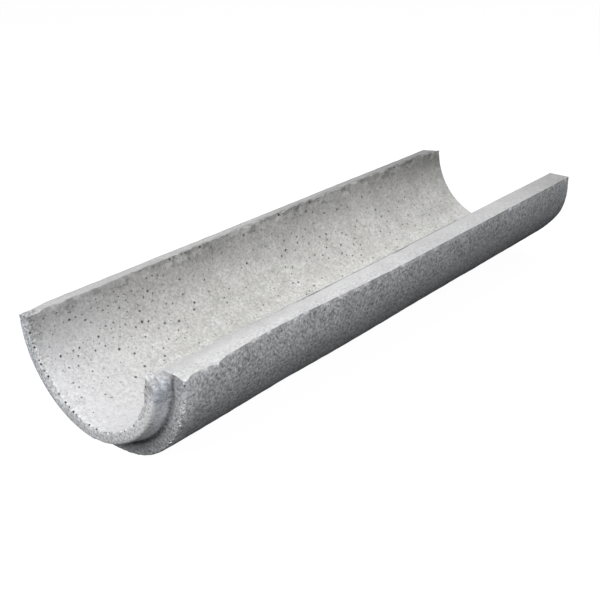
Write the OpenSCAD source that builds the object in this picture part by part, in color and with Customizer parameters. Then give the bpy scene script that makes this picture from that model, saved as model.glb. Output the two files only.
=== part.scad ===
// Half-round concrete drainage channel with a stepped spigot at one end.
// The channel lies on its rounded back along X, with the spigot at the -X end.
// The origin is on the ground below the middle of its length, and +Z points out of the open side.

/* [Trough] */
// Inside diameter of the half-round bore
bore_d = 250; // [150:5:400]
// Thickness of the trough's wall
wall = 41; // [34:1:70]
// Overall length, spigot included
overall_length = 1000; // [400:10:1500]

/* [Spigot] */
// How far the spigot stands out of the shoulder
spigot_length = 25; // [22:1:60]
// Thickness of the spigot's wall
spigot_wall = 19; // [15:1:24]
// Rounding of the spigot's nose
nose_round = 3.5; // [2:0.5:11]
// Fillet in the corner between spigot and shoulder
root_fillet = 5; // [1:0.5:6]

/* [Arrises] */
// Rounding of the shoulder's outer edge
shoulder_round = 4; // [1:0.5:8]
// Rounding of the edges at the plain end and at the mouth of the spigot
end_round = 3; // [1:0.5:5]
// Rounding of the edges along the two rims
rim_round = 4; // [1:0.5:8]

/* [Hidden] */
bore_r = bore_d / 2;
outer_r = bore_r + wall;
spigot_r = bore_r + spigot_wall;
// How far a cutter or a blank reaches past the faces that it shapes
overcut = 5;
// Share of the rim's rounding that is set over the bore, so that the arc runs out on the curved wall
bore_ease = 0.1;
$fn = 144;
concrete_grey = [0.73, 0.73, 0.71];

// Waste outside a rounded corner at the origin, for material on the +X +Y side
module corner_waste(radius) {
    difference() {
        translate([-overcut, -overcut]) square(radius + overcut);
        translate([radius, radius]) circle(radius);
    }
}

// Waste of a rounded corner at a point, with the material on the side that the two signs give
module corner_waste_at(point, side_x, side_y, radius) {
    translate(point)
        mirror([side_x < 0 ? 1 : 0, 0])
            mirror([0, side_y < 0 ? 1 : 0])
                corner_waste(radius);
}

// Fillet between the spigot's outside and the shoulder
module root_fillet_section() {
    translate([spigot_r, spigot_length])
        difference() {
            translate([0, -root_fillet]) square(root_fillet);
            translate([root_fillet, -root_fillet]) circle(root_fillet);
        }
}

// Lengthwise section of the wall: X is the distance from the axis, Y runs from the spigot's mouth
module wall_section() {
    difference() {
        union() {
            translate([bore_r, 0]) square([spigot_wall, overall_length]);
            translate([bore_r, spigot_length]) square([wall, overall_length - spigot_length]);
            root_fillet_section();
        }
        corner_waste_at([bore_r, 0], 1, 1, end_round);
        corner_waste_at([spigot_r, 0], -1, 1, nose_round);
        corner_waste_at([outer_r, spigot_length], -1, 1, shoulder_round);
        corner_waste_at([outer_r, overall_length], -1, -1, end_round);
        corner_waste_at([bore_r, overall_length], 1, -1, end_round);
    }
}

// Rim on one side, seen along the axis: a flat top with a rounding at either edge
module rim_section() {
    bore_edge = bore_r + rim_round * (1 - bore_ease);
    outer_edge = outer_r - rim_round;
    translate([bore_edge, -rim_round]) circle(rim_round);
    translate([outer_edge, -rim_round]) circle(rim_round);
    translate([bore_edge, -rim_round]) square([outer_edge - bore_edge, rim_round]);
}

// What the channel keeps of a full pipe, seen along the axis: the lower half with its two rims
module half_section() {
    reach = outer_r + overcut;
    translate([-reach, -reach]) square([2 * reach, reach - rim_round]);
    rim_section();
    mirror([1, 0]) rim_section();
}

// The casting with its axis on Z and its open side towards +Y
module casting() {
    intersection() {
        rotate_extrude() wall_section();
        translate([0, 0, -overcut])
            linear_extrude(overall_length + 2 * overcut) half_section();
    }
}

module channel_body() {
    color(concrete_grey)
        translate([-overall_length / 2, 0, outer_r])
            rotate([90, 0, 90]) casting();
}

channel_body();
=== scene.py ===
import math

import bpy
import numpy as np
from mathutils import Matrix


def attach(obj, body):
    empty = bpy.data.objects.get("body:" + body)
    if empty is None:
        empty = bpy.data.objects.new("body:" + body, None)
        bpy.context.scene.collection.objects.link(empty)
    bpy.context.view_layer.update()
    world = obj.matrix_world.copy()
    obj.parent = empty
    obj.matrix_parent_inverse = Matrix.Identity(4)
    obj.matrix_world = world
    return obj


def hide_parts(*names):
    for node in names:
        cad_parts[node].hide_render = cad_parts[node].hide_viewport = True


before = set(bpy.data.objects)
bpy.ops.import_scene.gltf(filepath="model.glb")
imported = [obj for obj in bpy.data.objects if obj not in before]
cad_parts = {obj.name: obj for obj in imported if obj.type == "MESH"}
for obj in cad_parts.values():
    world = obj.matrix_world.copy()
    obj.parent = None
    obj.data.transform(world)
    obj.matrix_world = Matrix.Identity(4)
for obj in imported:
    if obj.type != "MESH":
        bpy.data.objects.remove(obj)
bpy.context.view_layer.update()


# Camera
# It stands to the right of the spigot end and looks down along the trough, as for the photograph.
# Its place and lens come from a perspective fit of the channel's edges.
bpy.ops.object.select_all(action="DESELECT")
bpy.ops.object.camera_add(
    location=(-1.11974, -0.93901, 0.74372),
    rotation=[math.radians(turn) for turn in (64.4932, 1.3299, -48.5373)],
)
camera = bpy.context.object
camera.name = "viewpoint"
camera.data.lens = 57.361
bpy.context.scene.camera = camera


# Channel casting
# Trough, shoulder and spigot are one piece of plain concrete, cast in a steel mould and struck out when stiff.
# The rims were trowelled off by hand, air left holes in the bore, and the arrises have chipped in the yard.
# Lengths are in metres, as in the CAD model, and BORE, SPIGOT_OUT and OUT are radii about the axis.
LENGTH = 1.0
SPIGOT = 0.025
BORE = 0.125
SPIGOT_OUT = 0.144
OUT = 0.166
AXIS_Z = 0.166
MOUTH_X = -LENGTH / 2
SHOULDER_X = MOUTH_X + SPIGOT
ROUND_STEPS = 124

# The left rim is two grids: one at the bore, as long as the casting, and one outside it, as long as the trough.
bpy.ops.object.select_all(action="DESELECT")
bpy.ops.mesh.primitive_grid_add(x_subdivisions=280, y_subdivisions=6, size=1.0)
channel = bpy.context.object
channel.name = "channel_casting"
bpy.ops.object.mode_set(mode="EDIT")
bpy.ops.transform.resize(value=(LENGTH, SPIGOT_OUT - BORE, 1.0), center_override=(0, 0, 0))
bpy.ops.transform.translate(value=(0, (SPIGOT_OUT + BORE) / 2, AXIS_Z))
bpy.ops.mesh.primitive_grid_add(x_subdivisions=273, y_subdivisions=7, size=1.0)
bpy.ops.transform.resize(value=(LENGTH - SPIGOT, OUT - SPIGOT_OUT, 1.0), center_override=(0, 0, 0))
bpy.ops.transform.translate(value=(SPIGOT / 2, (OUT + SPIGOT_OUT) / 2, AXIS_Z))
bpy.ops.mesh.select_all(action="SELECT")
bpy.ops.mesh.remove_doubles(threshold=0.0004)

# The left rim's grid is copied over to the right, and its outline is swept round the back between the two.
bpy.ops.mesh.duplicate()
bpy.ops.transform.rotate(value=math.pi, orient_axis="X", center_override=(0, 0, AXIS_Z))
bpy.ops.mesh.select_all(action="INVERT")
bpy.ops.mesh.region_to_loop()
bpy.ops.mesh.spin(steps=ROUND_STEPS, angle=math.pi, center=(0, 0, AXIS_Z), axis=(1, 0, 0))
bpy.ops.mesh.select_all(action="SELECT")
bpy.ops.mesh.remove_doubles(threshold=0.0002)
bpy.ops.mesh.normals_make_consistent(inside=False)
bpy.ops.mesh.select_all(action="DESELECT")
bpy.ops.object.mode_set(mode="OBJECT")


def places():
    """Places of the casting's vertices, one row each."""
    table = np.empty(len(channel.data.vertices) * 3)
    channel.data.vertices.foreach_get("co", table)
    return table.reshape(-1, 3)


def near(distance, reach):
    """1 on a line or face and 0 from the reach on, with a soft run between."""
    share = np.clip(1 - np.abs(distance) / reach, 0, 1)
    return share * share * (3 - 2 * share)


WEIGHT_STEPS = 50


def weigh(name, weight):
    """Gives each of the casting's vertices its share in what the next modifier does, as a named group."""
    channel.vertex_groups.clear()
    group = channel.vertex_groups.new(name=name)
    level = np.rint(np.clip(weight, 0, 1) * WEIGHT_STEPS).astype(int)
    for step in range(1, WEIGHT_STEPS + 1):
        members = np.flatnonzero(level == step)
        if len(members):
            group.add(members.tolist(), step / WEIGHT_STEPS, "REPLACE")
    return group.name


def wear(name, weight, depth, direction, lump=None, middle=0.0):
    """Moves the casting's surface where the weight says, evenly or in lumps of a given size."""
    push = channel.modifiers.new(name, "DISPLACE")
    push.vertex_group = weigh(name, weight)
    push.strength = depth
    push.direction = direction
    push.mid_level = middle
    push.texture_coords = "LOCAL"
    if lump:
        push.texture = bpy.data.textures.new(name, "CLOUDS")
        push.texture.noise_scale = lump
        push.texture.noise_depth = 1
    bpy.ops.object.modifier_apply(modifier=push.name)


# Where each vertex lies in the fresh casting. Round the bore, 0 degrees is the left rim, 90 the invert, 180 the right
# rim. A distance to something on one side only is a metre too long on the other side, out of every reach.
cast = places()
along = cast[:, 0]
out = np.hypot(cast[:, 1], cast[:, 2] - AXIS_Z)
round_by = np.degrees(np.arctan2(AXIS_Z - cast[:, 2], cast[:, 1]))
left = cast[:, 1] > 0
right = ~left
below_rim = AXIS_Z - cast[:, 2]
thick = np.clip((out - BORE) / (OUT - BORE), 0, 1)
outer_edge = np.hypot(out - OUT, below_rim)
inner_edge = np.hypot(out - BORE, below_rim)
right_arris = outer_edge + left
left_arris = inner_edge + right
rim_arris = np.minimum(outer_edge, inner_edge)
mouth_arris = np.hypot(along - MOUTH_X, out - BORE)
nose_arris = np.hypot(along - MOUTH_X, out - SPIGOT_OUT)
shoulder_arris = np.hypot(along - SHOULDER_X, out - OUT)
TOUCH = 0.001

# The mould's roundings are taken from the CAD body, which the sharp-edged grid is drawn on to.
# The rims were struck off by hand, so that their arrises stayed sharper.
wrap = channel.modifiers.new("mould roundings", "SHRINKWRAP")
wrap.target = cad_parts["channel_body"]
wrap.wrap_method = "NEAREST_SURFACEPOINT"
left_nose = (left & (nose_arris < TOUCH)) | (np.hypot(out - SPIGOT_OUT, below_rim + right) < TOUCH)
round_inner = right & (along > -0.30) & (out < BORE + TOUCH)
sharp = ((rim_arris < TOUCH) & ~round_inner) | left_nose | (along > LENGTH / 2 - TOUCH)
wrap.vertex_group = weigh("drawn on", 1 - 0.75 * sharp)
bpy.ops.object.modifier_apply(modifier=wrap.name)

# The left rim was struck off with a fall to the outside, and the spigot's right rim was left rounded over.
RIM_FALL = 0.0075
in_spigot = np.clip((-0.4752 - along) / 0.003, 0, 1)
across = np.clip((out - BORE) / (SPIGOT_OUT - BORE), 0, 1)
left_trough = left * (1 - in_spigot)
by_rim = np.clip(1 - below_rim / 0.08, 0, 1)
to_far_corner = np.interp(along, (0.43, 0.5), (1.0, -0.4))
left_shoulder = np.sqrt((out - OUT) ** 2 + below_rim ** 2 + (along - SHOULDER_X) ** 2)
wear("left rim fall", left_trough * thick * by_rim, -RIM_FALL, "Z")
wear("left rim rise", left_trough * (1 - thick) * by_rim * np.clip(to_far_corner, 0, 1), 0.0045, "Z")
wear("left far corner", left * (1 - thick) * near(below_rim, 0.05) * np.clip(-to_far_corner, 0, 1), -0.006, "Z")
wear("left spigot rim", left * in_spigot * near(below_rim, 0.03), 0.002, "Z")
wear("right spigot rim", right * in_spigot * across ** 1.2 * near(below_rim, 0.05), -0.016, "Z")
wear("left shoulder corner", left * near(left_shoulder, 0.04), -0.003, "Z")

# The spigot came out of the mould a little off centre, and drawn in towards its nose on the right.
to_nose = np.clip((-0.477 - along) / 0.023, 0, 1)
under = np.clip(round_by / 25, 0, 1) * np.clip((180 - round_by) / 15, 0, 1)
drawn = to_nose * np.clip((round_by - 95) / 25, 0, 1) * np.clip((180 - round_by) / 10, 0, 1)
wear("off centre", to_nose * under, 0.003, "Y")
wear("drawn in", drawn * np.abs(np.cos(np.radians(round_by))), 0.004, "Y")
wear("drawn up", drawn * np.sin(np.radians(round_by)), 0.004, "Z")
nose = near(nose_arris, 0.016) * np.clip((round_by - 80) / 30, 0, 1)
top_of_nose = right * in_spigot * near(np.hypot(out - SPIGOT_OUT, below_rim), 0.022)
soften = channel.modifiers.new("rounded nose", "SMOOTH")
soften.factor = 0.5
soften.iterations = 14
soften.vertex_group = weigh("rounded nose", np.maximum(nose * 0.15, top_of_nose))
bpy.ops.object.modifier_apply(modifier=soften.name)

# The mould's sheet was bowed, so that the back bulges on the right, and the concrete's skin is uneven.
outer_face = near(out - OUT, 0.004)
wear("belly", outer_face * near(round_by - 122, 32) * near(along + 0.42, 0.22), 0.0028, "NORMAL")
wear("middle belly", outer_face * near(round_by - 124, 30) * near(along + 0.08, 0.26), 0.0020, "NORMAL")
wear("far belly", outer_face * near(round_by - 156, 26) * near(along - 0.5, 0.28), -0.006, "Y")
wear("mould sag", np.ones(len(cast)), 0.0010, "NORMAL", lump=0.19, middle=0.5)
wear("outer skin", outer_face, 0.0009, "NORMAL", lump=0.02, middle=0.5)

# All chance comes from one seeded generator, so that each run gives the same casting.
chance = np.random.default_rng(11)


def chips(arris, spots, reach_from, reach_to):
    """Share of an arris that is broken out, in chips at given places along it."""
    share = np.zeros(len(cast))
    for spot in spots:
        reach = chance.uniform(reach_from, reach_to)
        depth = chance.uniform(0.35, 1.0)
        share = np.maximum(share, depth * near(np.hypot(arris, (along - spot) * 0.7), reach))
    return share


# The right rim's outer arris is chipped all along and rubbed back near the shoulder.
# RUBBED gives places along it and how far it lies back there, in millimetres.
right_chips = chips(right_arris, chance.uniform(-0.47, 0.49, 60), 0.004, 0.008)
wear("right chips in", right_chips, 0.002, "Y")
wear("right chips down", right_chips, -0.002, "Z")
RUBBED = (
    (-0.475, 0.0), (-0.466, 1.5), (-0.458, 3.0), (-0.448, 3.0), (-0.431, 1.5), (-0.418, 0.5), (-0.407, 2.0),
    (-0.392, 5.0), (-0.357, 6.5), (-0.322, 8.5), (-0.258, 8.5), (-0.218, 6.5), (-0.166, 4.0), (-0.112, 2.0),
    (-0.05, 0.0),
)
RUBBED_MOST = 10
lies_back = np.interp(along, *zip(*RUBBED))
wear("rubbed stretch", near(right_arris, 0.06) * lies_back / RUBBED_MOST, RUBBED_MOST / 1000, "Y")
wear("right shoulder corner", near(np.hypot(right_arris, along - SHOULDER_X), 0.018), -0.0035, "Z")
right_mouth = np.sqrt((along - MOUTH_X) ** 2 + (out - BORE) ** 2 + below_rim ** 2)
wear("right mouth corner", right * near(right_mouth, 0.035), 0.005, "Y")
wear("ledge", near(np.hypot(right_arris, along + 0.42), 0.012), -0.003, "Z")

# Under the left rim's edge the face has broken away in hollows, so that the edge overhangs them.
under_left = np.hypot(out - BORE, below_rim - 0.006) + right
wear("left hollows", chips(under_left, chance.uniform(-0.30, 0.49, 40), 0.005, 0.010), 0.005, "Y")
left_breaks = near(left_arris, 0.010) * (1 - in_spigot) * np.interp(along, (-0.36, -0.22), (0.5, 1.0))
wear("left arris broken back", left_breaks, 0.008, "Y", lump=0.011, middle=0.42)
wear("left arris broken down", left_breaks, -0.005, "Z", lump=0.010, middle=0.5)

# The trowel dragged a line along the right rim, and the edges of the mouth and the shoulder have crumbled.
trowel_line = right * near(out - 0.1285, 0.003) * (below_rim < TOUCH)
drag = near(along + 0.21, 0.11) + 0.8 * near(along - 0.02, 0.04)
wear("trowel line", trowel_line * np.clip(drag * 1.6, 0, 1), -0.004, "Z", lump=0.03, middle=0.1)
wear("rubbed mouth", near(mouth_arris, 0.012) * near(round_by - 50, 14), 0.004, "X")
wear("mouth edge", near(mouth_arris, 0.007), 0.005, "NORMAL", lump=0.008, middle=0.6)
wear("shoulder edge", near(shoulder_arris, 0.006), 0.003, "NORMAL", lump=0.007, middle=0.6)
channel.vertex_groups.clear()

# Air holes lie in the bore, most of them high on its sides, where the air could not leave the mould.
# The larger ones of the left side are where the photograph shows them: along in metres, round in degrees, width in
# millimetres. Those of one class are cut together, as wide as the middle of the class.
LARGE_HOLES = (
    (-0.380, 43, 5.4), (-0.323, 33, 5.6), (-0.386, 67, 5.2), (0.159, 15, 5.6), (-0.359, 62, 5.0), (-0.262, 44, 5.2),
    (-0.285, 40, 5.0), (0.237, 14, 5.6), (0.266, 28, 5.6), (-0.411, 16, 4.8), (-0.218, 36, 5.2), (-0.399, 30, 4.6),
    (-0.309, 35, 4.6), (0.079, 5, 5.6), (-0.085, 26, 5.0), (-0.321, 62, 4.4), (-0.362, 51, 4.4), (0.272, 36, 5.6),
    (-0.329, 44, 4.2), (0.007, 29, 5.6), (0.134, 43, 5.6), (-0.225, 40, 4.4), (-0.007, 31, 4.6), (0.126, 51, 5.2),
    (-0.349, 18, 4.2), (0.125, 14, 5.4), (-0.316, 56, 4.2), (0.159, 37, 5.4), (-0.318, 25, 4.2), (-0.437, 32, 4.2),
    (-0.415, 38, 4.0), (0.342, 45, 5.6), (0.113, 30, 5.4), (-0.227, 16, 4.4), (-0.268, 28, 4.2), (-0.368, 26, 3.8),
)
WIDTH_CLASSES = ((3.5, 4.3), (4.3, 4.9), (4.9, 5.5), (5.5, 6.3))

# Pits of the left rim's edge by their place along it, and those of the mouth, the ring and the shoulder by their angle.
EDGE_PITS = (-0.239, -0.232, -0.214, -0.208, -0.202, -0.174, -0.169, -0.123, -0.062, 0.010, 0.094, 0.231, 0.345)
EDGE_ANGLE = -0.5
MOUTH_PITS = (10.5, 19.5, 30.5, 39.5, 52.5, 59.0, 68.5, 91.0, 135.5, 144.0, 161.5, 172.5)
RING_PITS = (3.5, 7.0, 11.0, 14.0, 18.0, 23.0, 29.0, 37.0)
SHOULDER_PITS = (139.0, 154.5, 159.0, 162.5, 176.0)
SHOULDER_PITS_X = -0.474

# A skin is the part of the casting that takes holes: from and to along, then from and to in distance from the axis.
BORE_SKIN = (-0.49, 0.49, 0.1228, 0.1272)
LEFT_EDGE = (-0.46, 0.48, 0.1225, 0.1335)
MOUTH_EDGE = (-0.51, -0.4965, 0.115, 0.131)
RING_FACE = (-0.506, -0.4965, 0.131, 0.141)
SHOULDER_EDGE = (-0.479, -0.469, 0.1605, 0.169)
OUTER_SKIN = (-0.465, 0.49, 0.163, 0.169)

bpy.ops.object.mode_set(mode="EDIT")
bpy.ops.mesh.select_mode(type="VERT")
bpy.ops.geometry.attribute_add(name="air_hole", domain="FACE", data_type="FLOAT")
bpy.ops.object.mode_set(mode="OBJECT")
# Holes this wide or wider get full painted shade inside them, narrower ones less.
FULLY_DARK = 0.0046
taken = []


def air_holes(spots, width, skin, room=0.009):
    """Cuts round holes of one width into a skin, each at the vertex nearest to its spot, where there is room."""
    now = places()
    away = np.hypot(now[:, 1], now[:, 2] - AXIS_Z)
    long_from, long_to, away_from, away_to = skin
    inside = (now[:, 0] > long_from) & (now[:, 0] < long_to) & (away > away_from) & (away < away_to)
    pool = np.flatnonzero(inside)
    reach = (away_from + away_to) / 2
    chosen = np.zeros(len(now), bool)
    for spot, angle in spots:
        turn = math.radians(angle)
        wanted = np.array((spot, reach * math.cos(turn), AXIS_Z - reach * math.sin(turn)))
        best = pool[np.argmin(np.sum((now[pool] - wanted) ** 2, axis=1))]
        if all(np.sum((now[best] - other) ** 2) > room * room for other in taken):
            taken.append(now[best])
            chosen[best] = True
    channel.data.vertices.foreach_set("select", chosen)
    bpy.ops.object.mode_set(mode="EDIT")
    bpy.ops.mesh.select_mode(type="VERT")
    bpy.ops.mesh.bevel(offset=width / 2, affect="VERTICES", segments=2, profile=0.086)
    bpy.ops.mesh.select_mode(type="FACE")
    bpy.ops.mesh.inset(thickness=width * 0.1, depth=-width * 0.6)
    # The hole's faces are marked for painted shade.
    bpy.ops.mesh.attribute_set(value_float=min(1.0, width / FULLY_DARK))
    bpy.ops.mesh.select_all(action="DESELECT")
    bpy.ops.object.mode_set(mode="OBJECT")


def round_at(place, angles):
    """Spots at one place along the casting, at given angles."""
    return [(place, angle) for angle in angles]


for wide_from, wide_to in WIDTH_CLASSES:
    alike = [(spot, angle) for spot, angle, width in LARGE_HOLES if wide_from <= width < wide_to]
    air_holes(alike, (wide_from + wide_to) / 2000, BORE_SKIN)
air_holes([(spot, EDGE_ANGLE) for spot in EDGE_PITS], 0.0046, LEFT_EDGE, room=0.005)

# The small ones are by chance: some on the far left side, and many all over the bore, closer together at the mouth.
air_holes(zip(chance.uniform(-0.02, 0.46, 70), chance.uniform(10, 75, 70)), 0.0043, BORE_SKIN)
for count, width in ((26, 0.0046), (190, 0.0034), (420, 0.0026)):
    from_rim = chance.beta(1.1, 2.4, count) * 90
    angles = np.where(chance.random(count) < 0.5, from_rim, 180 - from_rim)
    at_mouth = chance.random(count) < 0.4
    spread = np.where(at_mouth, chance.uniform(-0.485, -0.25, count), chance.uniform(-0.48, 0.48, count))
    air_holes(zip(spread, np.clip(angles, 4, 176)), width, BORE_SKIN)
air_holes(round_at(MOUTH_X, MOUTH_PITS), 0.0046, MOUTH_EDGE, room=0.006)
air_holes(round_at(MOUTH_X, RING_PITS), 0.0034, RING_FACE, room=0.006)
air_holes(round_at(SHOULDER_PITS_X, SHOULDER_PITS), 0.0046, SHOULDER_EDGE, room=0.004)
for count, width in ((8, 0.0040), (20, 0.0032)):
    air_holes(round_at(MOUTH_X, chance.uniform(4, 172, count)), width, MOUTH_EDGE, room=0.006)
    air_holes(round_at(SHOULDER_PITS_X, chance.uniform(100, 178, count)), width, SHOULDER_EDGE, room=0.006)
air_holes(zip(chance.uniform(-0.46, 0.48, 90), chance.uniform(4, 176, 90)), 0.003, OUTER_SKIN)

bpy.ops.object.select_all(action="DESELECT")
channel.select_set(True)
bpy.context.view_layer.objects.active = channel
bpy.ops.object.shade_smooth_by_angle(angle=math.radians(38))


class Shade:
    """A socket of a material's node tree. Sums and products of values are written as Python."""

    def __init__(self, tree, socket=None):
        self.tree = tree
        self.socket = socket

    def add(self, kind, settings=None, sockets=None, output=0):
        """A new node of any kind, with its settings and what goes into its sockets."""
        node = self.tree.nodes.new(kind)
        for name, value in (settings or {}).items():
            setattr(node, name, value)
        for name, value in (sockets or {}).items():
            if isinstance(value, Shade):
                self.tree.links.new(value.socket, node.inputs[name])
            else:
                node.inputs[name].default_value = value
        return Shade(self.tree, node.outputs[output])

    def maths(self, operation, first, second):
        """Value of one operation on two values."""
        return self.add("ShaderNodeMath", {"operation": operation}, {0: first, 1: second})

    def __add__(self, other):
        return self.maths("ADD", self, other)

    __radd__ = __add__

    def __sub__(self, other):
        return self.maths("SUBTRACT", self, other)

    def __rsub__(self, other):
        return self.maths("SUBTRACT", other, self)

    def __mul__(self, other):
        return self.maths("MULTIPLY", self, other)

    __rmul__ = __mul__

    def __pow__(self, other):
        return self.maths("POWER", self, other)

    def span(self, low, high):
        """0 up to the low value and 1 from the high one on, with a soft run between."""
        return self.add(
            "ShaderNodeMapRange",
            {"interpolation_type": "SMOOTHSTEP"},
            {"Value": self, "From Min": low, "From Max": high},
        )


# Sockets of the Mix node that carry colours. They share their names with those for values.
MIX_FIRST, MIX_SECOND, MIX_RESULT = 6, 7, 2


def blend(share, first, second):
    """Colour that goes from the first to the second as the share goes from 0 to 1."""
    colours = {"Factor": share, MIX_FIRST: first, MIX_SECOND: second}
    return share.add("ShaderNodeMix", {"data_type": "RGBA"}, colours, MIX_RESULT)


def noise(place, scale, detail=2.0, rough=0.5):
    """Cloudy pattern about 0.5, finer with a larger scale."""
    sockets = {"Vector": place, "Scale": scale, "Detail": detail, "Roughness": rough}
    return place.add("ShaderNodeTexNoise", {}, sockets)


def band(value, rise, fall):
    """1 between the two spans over which it rises and falls, and 0 outside them."""
    return value.span(*rise) * (1 - value.span(*fall))


concrete = bpy.data.materials.new("cast_concrete")
concrete.use_nodes = True
tree = concrete.node_tree
surface = tree.nodes["Principled BSDF"]
point = Shade(tree).add("ShaderNodeTexCoord", output="Object")
length_at, side_at, height_at = (
    point.add("ShaderNodeSeparateXYZ", {}, {"Vector": point}, output=axis) for axis in "XYZ"
)
drop = height_at - AXIS_Z
radius_at = (side_at * side_at + drop * drop) ** 0.5

# Patterns of the concrete, from clouds of a hand's width down to single grains of sand, and streaks along the trough.
mottle = noise(point, 24.0, 4.0, 0.6)
cloud = noise(point, 6.0, 3.0, 0.55)
grit = noise(point, 240.0, 1.0, 0.5)
sand = noise(point, 430.0, 1.0, 0.5)
lumps = noise(point, 120.0, 1.0, 0.5)
drawn_out = point.add("ShaderNodeMapping", {}, {"Vector": point, "Scale": (2.5, 34.0, 34.0)})
streaks = noise(drawn_out, 1.0, 3.0, 0.55)
patches = mottle.span(0.32, 0.68)
uneven = mottle - 0.5

# Zones of the casting: its outside and its bore, the ring at the mouth, spigot, far end, trough, the broken arris of
# the left rim, the trowelled rims, and the parts near the mouth, far from it and on the right.
outside = radius_at.span(0.140, 0.146)
off_bore = radius_at.span(0.1262, 0.1285)
in_bore = 1 - off_bore
ragged_mouth = length_at + (noise(point, 70.0, 2.0) - 0.5) * 0.008 - 0.008 * height_at.span(0.115, 0.150)
on_ring = 1 - ragged_mouth.span(-0.4985, -0.4955)
at_spigot = (1 - length_at.span(-0.480, -0.477)) * (on_ring + off_bore - on_ring * off_bore)
at_end = length_at.span(0.492, 0.497) * off_bore
in_trough = length_at.span(-0.478, -0.470)
left_side = side_at.span(0.10, 0.11) * in_trough
broken_edge = left_side * (1 - (radius_at + uneven * 0.010).span(0.1275, 0.1300))
rim_height = height_at + RIM_FALL * side_at.span(0.125, 0.166)
on_rim = rim_height.span(0.1605, 0.1635) * off_bore * in_trough * (1 - broken_edge)
left_rim = on_rim * side_at.span(0.11, 0.12)
right_rim = on_rim * (1 - side_at.span(-0.12, -0.11))
outer_wall = outside * (1 - on_rim)
near_mouth = 1 - length_at.span(-0.49, -0.27)
far = length_at.span(-0.30, 0.35)
on_right = 1 - side_at.span(-0.08, 0.02)
ring_left = (1 - on_right) * height_at.span(0.06, 0.11)
nose_side = (radius_at + (0.003 + 0.004 * on_right) * height_at.span(0.08, 0.115)).span(0.139, 0.143)

# Clean concrete is warm grey in the bore, whiter at its mouth, bluer outside and on the nose, and pale on the rims.
bore_tone = blend(patches, (0.548, 0.545, 0.531, 1), (0.645, 0.642, 0.628, 1))
bore_tone = blend(streaks.span(0.48, 0.70) * 0.5, bore_tone, (0.52, 0.517, 0.503, 1))
bore_tone = blend(near_mouth * cloud.span(0.30, 0.52), bore_tone, (0.665, 0.665, 0.675, 1))
outer_tone = blend(patches, (0.47, 0.48, 0.50, 1), (0.565, 0.573, 0.595, 1))
rim_tone = blend(mottle.span(0.3, 0.7), (0.55, 0.55, 0.555, 1), (0.61, 0.61, 0.617, 1))
nose_tone = blend(patches, (0.605, 0.637, 0.690, 1), (0.715, 0.748, 0.805, 1))
ring_tone = blend(patches, (0.600, 0.605, 0.618, 1), (0.705, 0.710, 0.725, 1))
end_tone = blend(nose_side, ring_tone, nose_tone)
tone = blend(outside, bore_tone, outer_tone)
tone = blend(at_spigot, tone, end_tone)
tone = blend(at_end, tone, end_tone)
tone = blend(on_rim, tone, rim_tone)

# Sand shows as grit, coarse on the outside and the ends, finer in the bore, and rubbed over on the rims.
bore_grit = 0.40 - 0.13 * far * in_bore - 0.2 * near_mouth * cloud.span(0.4, 0.6)
outer_grit = (0.75 - 0.20 * length_at.span(-0.05, 0.40)) * outside
end_grit = (0.75 + 0.35 * ring_left) * at_spigot
coarse = (bore_grit + outer_grit) * (1 - at_spigot) * (1 - 0.65 * on_rim) + end_grit
grain = grit * 0.62 + sand * 0.38
lumpy = (0.26 + 0.16 * far) * (1 - 0.7 * on_rim) * (1 - 0.5 * outside)
speckle = (grain - 0.5) * coarse * 2.7 + (lumps - 0.5) * lumpy

# Painted light makes places paler: beside the shoulder, a painted highlight on its ridge, the nose and the ring, and
# low in the far bore.
# The outside is painted from dark at the ground to pale under the rim, more so at its two ends, as light and shade.
# Painted light on the outside beside the shoulder.
by_shoulder = 0.40 * (1 - (length_at + uneven * 0.03).span(-0.472, -0.435)) + 0.04 * height_at.span(0.140, 0.156)
pale_corner = outer_wall * length_at.span(-0.4748, -0.4735) * by_shoulder
# Painted highlight on the shoulder's ridge.
ridge = radius_at.span(0.157, 0.163) * band(length_at, (-0.4775, -0.4755), (-0.4725, -0.469)) * (1 - on_rim)
pale_ridge = ridge * (0.10 + 0.25 * height_at.span(0.06, 0.12))
# Painted light on the nose and the ring, more on the right and less at the top.
pale_nose = at_spigot * nose_side * on_right * (0.52 - 0.10 * length_at.span(-0.499, -0.488))
pale_nose = pale_nose * (1 - 0.85 * height_at.span(0.122, 0.142))
pale_ring = at_spigot * (1 - nose_side) * (0.04 + 0.24 * on_right * height_at.span(0.03, 0.09))
pale_ring = pale_ring * (1 - 0.7 * height_at.span(0.125, 0.150))
# Painted shade low on the outside and painted light under the rim, more near both ends.
pale_up = outer_wall * (0.48 * height_at.span(0.02, 0.165) - 0.33)
near_end = 0.12 * (1 - length_at.span(-0.44, -0.35)) * height_at.span(0.07, 0.12)
far_end = 0.05 * length_at.span(0.10, 0.30) * height_at.span(0.12, 0.15)
pale_ends = outer_wall * in_trough * (near_end + far_end)
# Painted light low in the bore from its middle on.
pale_invert = 0.14 * in_bore * (1 - height_at.span(0.045, 0.080)) * length_at.span(-0.15, 0.10)
# All the painted light together, added to the tone as paleness.
painted_light = pale_corner + pale_ridge + pale_nose + pale_ring + pale_up + pale_ends + pale_invert

# Painted shade darkens the bore's sides high up, more at the far end, and the corner behind the spigot. The shoulder is
# darker.
# The top of the spigot is darker.
# Painted shade high on the bore's sides and on the broken left arris.
shade_high = (height_at + (cloud - 0.5) * 0.03).span(0.07, 0.152) * (in_bore + broken_edge * off_bore)
# More painted shade high on the left side at the far end.
shade_far = length_at.span(0.20, 0.42) * side_at.span(0.09, 0.12) * height_at.span(0.115, 0.155)
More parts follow.
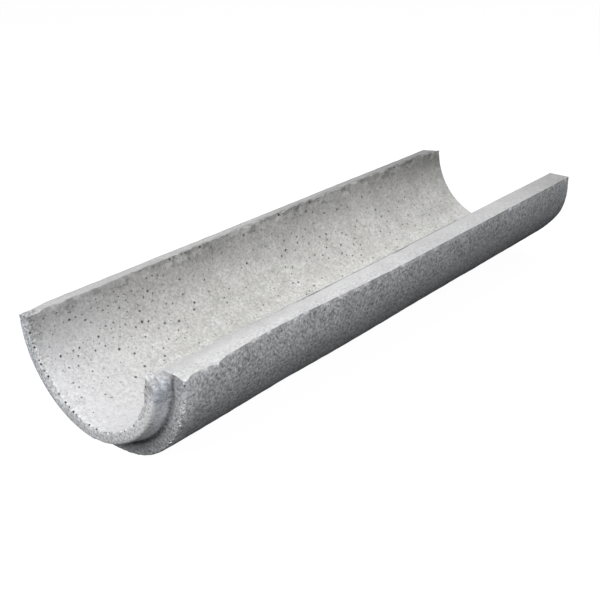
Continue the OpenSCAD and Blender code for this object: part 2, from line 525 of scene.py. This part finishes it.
# Painted shade in the groove behind the spigot's nose, strongest low down.
shade_behind = outside * (1 - radius_at.span(0.147, 0.153)) * band(length_at, (-0.487, -0.480), (-0.475, -0.474))
shade_behind = shade_behind * (0.52 - 0.22 * height_at.span(0.03, 0.09))
on_shoulder = radius_at.span(0.149, 0.153) * band(length_at, (-0.4775, -0.4765), (-0.4735, -0.4725))
# Darker top of the spigot, more on its right, and darker top of the ring on its left.
spigot_top = (1 - length_at.span(-0.476, -0.474)) * height_at.span(0.138, 0.150) * off_bore
dark_spigot_right = spigot_top * (1 - side_at.span(-0.123, -0.113)) * (0.36 + 0.05 * length_at.span(-0.488, -0.480))
dark_spigot_left = at_spigot * side_at.span(0.108, 0.125)
dark_spigot_left = dark_spigot_left * (0.10 * height_at.span(0.128, 0.156) + 0.26 * height_at.span(0.158, 0.166))

# Under the left rim's edge lie spots and two stretches of painted shadow. The left rim is dirty along its inner edge.
# Both rims have painted shade, more far from the spigot. The right rim has painted shade in the trowel's line and a
# soft edge by the spigot.
# Painted shadow in spots just under the left rim's edge.
shadow_spots_under = left_side * height_at.span(0.148, 0.157) * (1 - radius_at.span(0.128, 0.133))
shadow_spots_under = shadow_spots_under * noise(point, 48.0, 3.0, 0.6).span(0.50, 0.64)
# Painted shadow in two stretches just under the left rim's edge.
shadow_stretches = band(length_at, (-0.22, -0.19), (-0.14, -0.11)) + band(length_at, (0.02, 0.05), (0.09, 0.13))
shadow_stretches = shadow_stretches * side_at.span(0.09, 0.11) * height_at.span(0.136, 0.152) * (1 - radius_at.span(0.130, 0.134))
rim_dirt = left_rim * (1 - radius_at.span(0.130, 0.150)) * noise(point, 60.0, 3.0, 0.6).span(0.40, 0.58)
rim_dirt = rim_dirt * (0.2 + 0.8 * length_at.span(-0.35, -0.05))
# Painted shade on the rims: on the left all along, more outwards and far on; on the right far from the spigot.
left_rim_shade = left_rim * (0.09 + 0.13 * length_at.span(-0.03, 0.05) + 0.05 * radius_at.span(0.145, 0.163))
right_rim_shade = right_rim * (0.05 * length_at.span(-0.05, 0.10) + 0.20 * length_at.span(0.30, 0.50))
# Painted shade in the groove of the trowel's line on the right rim.
trowel_shade = (1 - side_at.span(-0.118, -0.112)) * height_at.span(0.1590, 0.1615) * (1 - radius_at.span(0.1280, 0.1300))
trowel_shade = trowel_shade * band(length_at, (-0.24, -0.19), (0.16, 0.24))
trowel_shade = trowel_shade * (0.4 + 0.6 * noise(point, 30.0, 2.0).span(0.40, 0.60))
soft_edge = right_rim * (1 - length_at.span(-0.30, -0.15)) * (1 - (radius_at + uneven * 0.02).span(0.126, 0.146))

# Dirt and painted shade together, as the share of the tone that is left.
dirt_and_shade = (1 - shade_behind) * (1 - dark_spigot_right) * (1 - dark_spigot_left) * (1 - (left_rim_shade + right_rim_shade))
for strength, zone in (
    (0.22, shade_high),
    (0.23, shade_far),
    (0.14, on_shoulder),
    (0.34, shadow_spots_under),
    (0.17, shadow_stretches),
    (0.40, rim_dirt),
    (0.48, trowel_shade),
    (0.17, soft_edge),
):
    dirt_and_shade = dirt_and_shade * (1 - strength * zone)
shade = (1 + speckle) * dirt_and_shade * (1 + painted_light)
tone = tone.add(
    "ShaderNodeMix",
    {"data_type": "RGBA", "blend_type": "MULTIPLY", "clamp_result": True},
    {"Factor": 1.0, MIX_FIRST: tone, MIX_SECOND: shade},
    MIX_RESULT,
)


def pinholes(scale, width, share):
    """Painted shade of small holes, in a chance share of the cells of a Voronoi pattern."""
    pin = point.add("ShaderNodeTexVoronoi", {}, {"Vector": point, "Scale": scale})
    cell_colour = Shade(tree, pin.socket.node.outputs["Color"])
    pick = cell_colour.add("ShaderNodeSeparateColor", {}, {"Color": cell_colour})
    return (1 - pin.span(width * 0.5, width)) * pick.span(1 - share, 1.02 - share)


# Painted shade of pinholes, which are only pressed in by the bump.
pinhole = (pinholes(120.0, 0.17, 0.38) + pinholes(260.0, 0.28, 0.32)) * (1 - on_rim * 0.8)
tone = blend(pinhole * 0.42, tone, (0.14, 0.14, 0.135, 1))
# Painted shade inside the air holes cut into the casting.
hole = point.add("ShaderNodeAttribute", {"attribute_name": "air_hole"}, output="Fac")
tone = blend(hole * 0.85, tone, (0.05, 0.05, 0.047, 1))
tree.links.new(tone.socket, surface.inputs["Base Color"])
surface.inputs["Roughness"].default_value = 0.92
surface.inputs["Specular IOR Level"].default_value = 0.2
relief = grain * coarse - pinhole * 0.5
bump = relief.add("ShaderNodeBump", {}, {"Strength": 0.55, "Distance": 0.0025, "Height": relief})
tree.links.new(bump.socket, surface.inputs["Normal"])
channel.data.materials.append(concrete)

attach(channel, "root")
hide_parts("channel_body")


# Floor and light
# A pale studio floor, and four broad soft lamps over the trough, at the spigot end, in front and behind, with a little
# even light. The camera sees the white floor, and the round back gets its light from a greyer ground just below it.
def stage_disc(name, colour, glow, height):
    """A broad round floor of one dull colour, with a glow of its own."""
    bpy.ops.object.select_all(action="DESELECT")
    bpy.ops.mesh.primitive_circle_add(vertices=96, radius=14.0, fill_type="NGON", location=(0, 0, height))
    disc = bpy.context.object
    disc.name = name
    finish = bpy.data.materials.new(name)
    finish.use_nodes = True
    paint = finish.node_tree.nodes["Principled BSDF"]
    paint.inputs["Base Color"].default_value = colour
    paint.inputs["Roughness"].default_value = 1.0
    paint.inputs["Specular IOR Level"].default_value = 0.0
    paint.inputs["Emission Color"].default_value = (1, 1, 1, 1)
    paint.inputs["Emission Strength"].default_value = glow
    disc.data.materials.append(finish)
    return disc


floor = stage_disc("pale_floor", (0.15, 0.15, 0.15, 1), 0.96, -0.001)
floor.visible_diffuse = False
floor.visible_glossy = False
floor.visible_shadow = False
ground = stage_disc("grey_ground", (0.05, 0.05, 0.05, 1), 0.0, -0.003)
ground.visible_camera = False

# Each lamp's name, place, turn in degrees, width and power.
for name, place, turns, width, power in (
    ("lamp_over", (-0.1, 0.0, 2.2), (0, 0, 0), 1.2, 28.6),
    ("lamp_at_spigot", (-2.0, 0.2, 1.1), (58.2, 0, -97.1), 1.0, 21.5),
    ("lamp_in_front", (-0.6, -1.5, 0.9), (62.7, 0, -14.9), 1.1, 9.4),
    ("lamp_behind", (1.9, 1.4, 0.7), (76.9, 0, 126.4), 1.1, 7.0),
):
    bpy.ops.object.light_add(type="AREA", location=place, rotation=[math.radians(turn) for turn in turns])
    lamp = bpy.context.object
    lamp.name = name
    lamp.data.shape = "DISK"
    lamp.data.size = width
    lamp.data.energy = power

world = bpy.data.worlds.new("studio")
world.use_nodes = True
bpy.context.scene.world = world
seen = Shade(world.node_tree).add("ShaderNodeLightPath", output="Is Camera Ray")
dome = blend(seen, (0.17, 0.17, 0.172, 1), (1.0, 1.0, 1.0, 1))
background = world.node_tree.nodes["Background"]
world.node_tree.links.new(dome.socket, background.inputs["Color"])
background.inputs["Strength"].default_value = 1.0
bpy.context.scene.view_settings.view_transform = "Standard"
